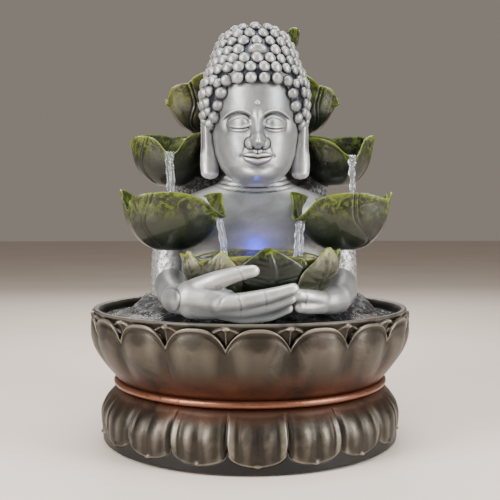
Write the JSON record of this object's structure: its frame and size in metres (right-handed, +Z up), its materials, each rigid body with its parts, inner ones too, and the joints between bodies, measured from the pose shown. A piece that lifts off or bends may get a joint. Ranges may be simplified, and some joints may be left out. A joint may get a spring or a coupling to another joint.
{
  "type": "tabletop water fountain",
  "caption": "Tabletop water fountain: a seated figure over a lotus basin, with leaf cups that pour the water down in tiers, a lamp and a submersible pump.",
  "frame": {"origin": "centre of the base on the table, between the rubber feet", "axes": "+Z up, -Y towards the front that the figure faces, +X to the right seen from the front"},
  "size_m": [0.2054, 0.2036, 0.2726],
  "materials": {
    "bronze_resin": "antique bronze paint over cast resin, darker in the creases, copper towards the waist",
    "copper_resin": "copper paint over cast resin",
    "rock_resin": "rough charcoal rock, dry-brushed light grey",
    "silver_resin": "satin silver-grey paint with a dark wash in the recesses",
    "leaf_resin": "dark green leaf paint, yellow-green on the edges, bronze sheen",
    "black_plastic": "moulded black plastic",
    "base_board": "black moulded board",
    "rubber": "black rubber",
    "seal_rubber": "red silicone",
    "clear_soft": "clear flexible PVC",
    "white_plastic": "white moulded plastic",
    "orange_plastic": "orange moulded plastic",
    "shaft_ceramic": "polished white ceramic",
    "ferrite": "dark ferrite magnet",
    "winding": "laminated steel core with enamelled winding",
    "screw_steel": "zinc-plated steel",
    "board_green": "green circuit board",
    "lamp_lens": "clear blue-tinted lens"
  },
  "bodies": {
    "root": {"plinth_shell": "bronze_resin", "bottom_plate": "base_board", "rubber_feet": "rubber", "plate_screws": "screw_steel", "waist_ring": "copper_resin", "basin_bowl": "bronze_resin", "lead_grommet": "rubber", "rock_mound": "rock_resin", "rock_backdrop": "rock_resin", "figure_torso": "silver_resin", "figure_head": "silver_resin", "hair_cap": "silver_resin", "right_hand": "silver_resin", "left_hand": "silver_resin", "top_leaf": "leaf_resin", "upper_leaf_left": "leaf_resin", "upper_leaf_right": "leaf_resin", "middle_leaf_left": "leaf_resin", "middle_leaf_right": "leaf_resin", "lower_leaf_left": "leaf_resin", "lower_leaf_right": "leaf_resin", "centre_leaf_bowl": "leaf_resin", "pump_housing": "black_plastic", "stator_core": "winding", "rotor_shaft": "shaft_ceramic", "shaft_bushes": "rubber", "volute_cover": "black_plastic", "volute_seal": "seal_rubber", "suction_cups": "clear_soft", "supply_gland": "rubber", "riser_tube": "clear_soft", "led_housing": "black_plastic", "led_lens": "lamp_lens", "led_board": "board_green", "led_lead": "rubber"},
    "rotor": {"rotor_magnet": "ferrite", "impeller": "white_plastic"},
    "strainer": {"strainer_cover": "black_plastic"},
    "dial": {"flow_dial": "orange_plastic"},
    "cover": {"pump_cover": "rock_resin"}
  },
  "joints": [
    {"name": "impeller_spin", "type": "hinge", "parent": "root", "child": "rotor", "pos_m": [0.003, 0.052, 0.0625], "axis": [0, 1, 0], "continuous": true},
    {"name": "strainer_slide", "type": "slide", "parent": "root", "child": "strainer", "axis": [0, -1, 0], "range_m": [0, 0.012]},
    {"name": "dial_turn", "type": "hinge", "parent": "strainer", "child": "dial", "pos_m": [0.003, 0.032, 0.0625], "axis": [0, 1, 0], "range_deg": [0, 30]},
    {"name": "cover_lift", "type": "slide", "parent": "root", "child": "cover", "axis": [0, 0, 1], "range_m": [0, 0.06]}
  ]
}
